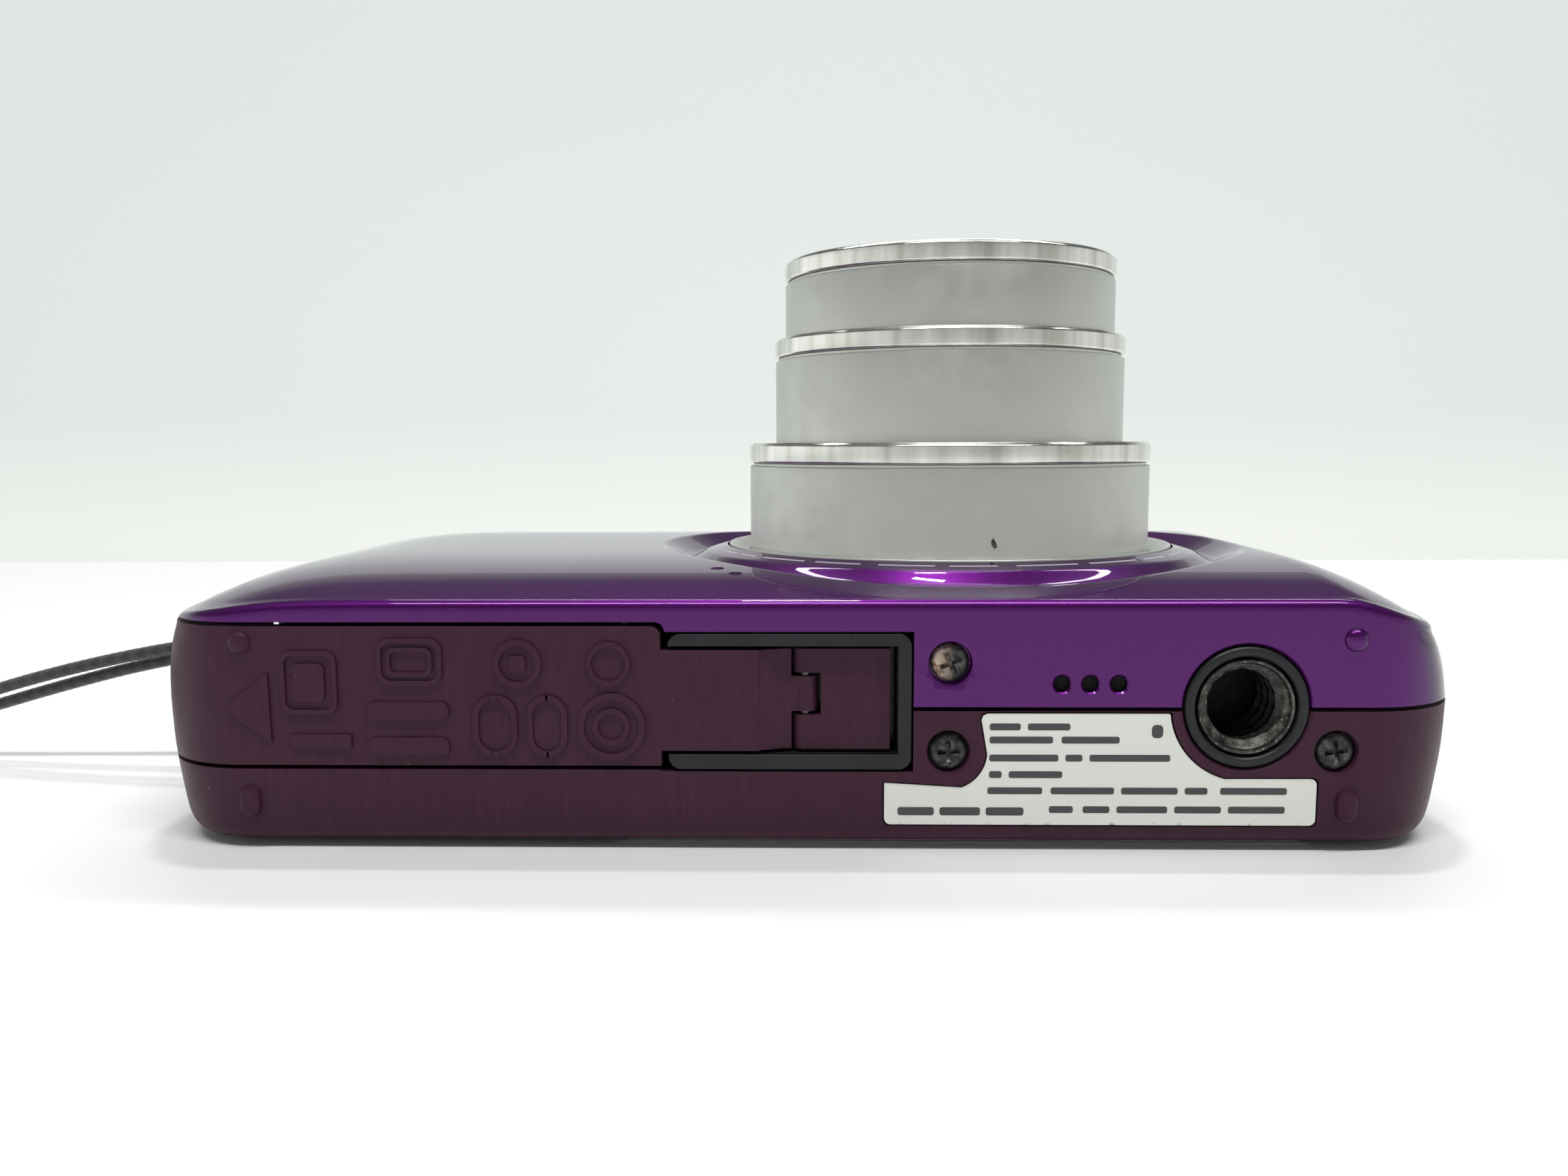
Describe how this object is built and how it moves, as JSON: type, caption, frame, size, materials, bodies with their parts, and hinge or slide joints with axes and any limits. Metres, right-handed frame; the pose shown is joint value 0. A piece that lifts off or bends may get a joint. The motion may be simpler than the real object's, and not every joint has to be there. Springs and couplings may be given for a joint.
{
  "type": "compact digital camera",
  "caption": "Slim pocket digital camera with a three-stage telescoping zoom lens, bottom battery door, tripod socket, rear screen, keys and a wrist strap",
  "frame": {"origin": "on the outer face of the screen window, at the middle of the body's length and height", "axes": "+Z out of the lens, +X along the long side towards the lens, +Y towards the shutter button; the camera lies on its screen"},
  "size_m": [0.187, 0.0655, 0.0452],
  "materials": {
    "gloss_purple": "glossy metallic purple lacquer",
    "matte_plum": "fine-grained dark plum moulding",
    "black_plastic": "satin black moulding",
    "satin_aluminium": "bead-blasted silver",
    "polished_ring": "turned and polished",
    "plain_steel": "plain pressed or turned steel",
    "lens_glass": "coated optical glass",
    "screen_glass": "black bordered cover glass",
    "clear_window": "clear ribbed plastic",
    "circuit_board": "solder mask green",
    "display": "dark display panel",
    "label_white": "printed film label",
    "battery_grey": "wrapped cell",
    "contact_brass": "plated spring contacts",
    "latch_orange": "coloured moulding",
    "rubber_grey": "silicone rubber",
    "strap_cord": "braided polyester cord"
  },
  "bodies": {
    "camera_body": {"front_cover": "gloss_purple", "rear_cover": "matte_plum", "door_rail_frame": "black_plastic", "bottom_screw_front": "plain_steel", "bottom_screw_rear": "plain_steel", "bottom_screw_end": "plain_steel", "tripod_collar": "black_plastic", "tripod_bush": "plain_steel", "rating_label": "label_white", "speaker": "black_plastic", "lens_trim_ring": "satin_aluminium", "lens_base": "black_plastic", "image_sensor": "circuit_board", "main_chassis": "plain_steel", "main_board": "circuit_board", "lcd_window": "screen_glass", "lcd_panel": "display", "battery_bay": "black_plastic", "battery": "battery_grey", "battery_contacts": "contact_brass", "card_slot": "plain_steel", "flash_window": "clear_window", "flash_reflector": "plain_steel", "self_timer_lamp": "clear_window", "flash_capacitor": "black_plastic", "microphone": "plain_steel", "zoom_motor": "plain_steel", "multi_connector": "plain_steel", "top_control_plate": "black_plastic", "strap_eyelet": "plain_steel", "strap_strand_a": "strap_cord", "strap_strand_b": "strap_cord", "strap_joint": "rubber_grey", "wrist_cord_coil": "strap_cord"},
    "lens_stage_1": {"lens_barrel_1": "satin_aluminium", "barrel_ring_1": "polished_ring"},
    "lens_stage_2": {"lens_barrel_2": "satin_aluminium", "barrel_ring_2": "polished_ring", "rear_lens_group": "lens_glass"},
    "lens_stage_3": {"lens_barrel_3": "satin_aluminium", "barrel_ring_3": "polished_ring", "front_bezel": "black_plastic", "front_lens": "lens_glass", "front_lens_carrier": "black_plastic"},
    "blade_a": {"barrier_blade_a": "black_plastic"},
    "blade_b": {"barrier_blade_b": "black_plastic"},
    "door_carriage": {"door_slider": "matte_plum", "door_hinge_pin": "plain_steel"},
    "door": {"battery_door": "matte_plum"},
    "latch": {"battery_latch": "latch_orange"},
    "shutter": {"shutter_button": "polished_ring"},
    "zoom_ring": {"zoom_lever": "satin_aluminium"},
    "power_key": {"power_button": "satin_aluminium"},
    "movie_key": {"movie_button": "black_plastic"},
    "play_key": {"play_button": "black_plastic"},
    "menu_key": {"menu_button": "black_plastic"},
    "help_key": {"help_button": "black_plastic"},
    "pad_carrier": {"pad_seat": "rubber_grey"},
    "pad": {"four_way_pad": "black_plastic"},
    "ok_key": {"ok_button": "black_plastic"}
  },
  "joints": [
    {"name": "zoom_stage_1_slide", "type": "slide", "parent": "camera_body", "child": "lens_stage_1", "axis": [0, 0, 1], "range_m": [-0.0087, 0]},
    {"name": "zoom_stage_2_slide", "type": "slide", "parent": "lens_stage_1", "child": "lens_stage_2", "axis": [0, 0, 1], "range_m": [-0.009, 0]},
    {"name": "zoom_stage_3_slide", "type": "slide", "parent": "lens_stage_2", "child": "lens_stage_3", "axis": [0, 0, 1], "range_m": [-0.0066, 0]},
    {"name": "barrier_blade_a_swing", "type": "hinge", "parent": "lens_stage_3", "child": "blade_a", "pos_m": [0.02497, 0, 0.04325], "axis": [0, 0, 1], "range_deg": [0, 31]},
    {"name": "barrier_blade_b_swing", "type": "hinge", "parent": "lens_stage_3", "child": "blade_b", "pos_m": [0.00137, 0, 0.04325], "axis": [0, 0, 1], "range_deg": [0, 31]},
    {"name": "door_slide", "type": "slide", "parent": "camera_body", "child": "door_carriage", "axis": [-1, 0, 0], "range_m": [0, 0.004]},
    {"name": "door_swing", "type": "hinge", "parent": "door_carriage", "child": "door", "pos_m": [0.0004, -0.027, 0.011], "axis": [0, 0, 1], "range_deg": [0, 90]},
    {"name": "battery_latch_slide", "type": "slide", "parent": "camera_body", "child": "latch", "axis": [0, 0, 1], "range_m": [0, 0.0008], "stiffness_N_per_m": 100, "springref_m": -0.0002},
    {"name": "shutter_press", "type": "slide", "parent": "camera_body", "child": "shutter", "axis": [0, -1, 0], "range_m": [0, 0.0008], "stiffness_N_per_m": 400, "springref_m": -0.0002},
    {"name": "zoom_lever_turn", "type": "hinge", "parent": "camera_body", "child": "zoom_ring", "pos_m": [-0.031, 0.0295, 0.01], "axis": [0, 1, 0], "range_deg": [-18, 18], "stiffness_Nm_per_rad": 0.02},
    {"name": "power_press", "type": "slide", "parent": "camera_body", "child": "power_key", "axis": [0, -1, 0], "range_m": [0, 0.0004], "stiffness_N_per_m": 400, "springref_m": -0.0002},
    {"name": "movie_press", "type": "slide", "parent": "camera_body", "child": "movie_key", "axis": [0, 0, 1], "range_m": [0, 0.0004], "stiffness_N_per_m": 250, "springref_m": -0.0002},
    {"name": "play_press", "type": "slide", "parent": "camera_body", "child": "play_key", "axis": [0, 0, 1], "range_m": [0, 0.0004], "stiffness_N_per_m": 250, "springref_m": -0.0002},
    {"name": "menu_press", "type": "slide", "parent": "camera_body", "child": "menu_key", "axis": [0, 0, 1], "range_m": [0, 0.0004], "stiffness_N_per_m": 250, "springref_m": -0.0002},
    {"name": "help_press", "type": "slide", "parent": "camera_body", "child": "help_key", "axis": [0, 0, 1], "range_m": [0, 0.0004], "stiffness_N_per_m": 250, "springref_m": -0.0002},
    {"name": "pad_tilt_left_right", "type": "hinge", "parent": "camera_body", "child": "pad_carrier", "pos_m": [-0.033, -0.003, 0.0023], "axis": [0, 1, 0], "range_deg": [-1.2, 1.2], "stiffness_Nm_per_rad": 0.3},
    {"name": "pad_tilt_up_down", "type": "hinge", "parent": "pad_carrier", "child": "pad", "pos_m": [-0.033, -0.003, 0.0022], "axis": [1, 0, 0], "range_deg": [-1.2, 1.2], "stiffness_Nm_per_rad": 0.3},
    {"name": "ok_press", "type": "slide", "parent": "camera_body", "child": "ok_key", "axis": [0, 0, 1], "range_m": [0, 0.0004], "stiffness_N_per_m": 250, "springref_m": -0.0002}
  ],
  "couplings": [
    {"joint": "zoom_stage_2_slide", "follows": "zoom_stage_1_slide", "ratio": 1.032},
    {"joint": "zoom_stage_3_slide", "follows": "zoom_stage_1_slide", "ratio": 0.749},
    {"joint": "barrier_blade_b_swing", "follows": "barrier_blade_a_swing", "ratio": 1}
  ]
}
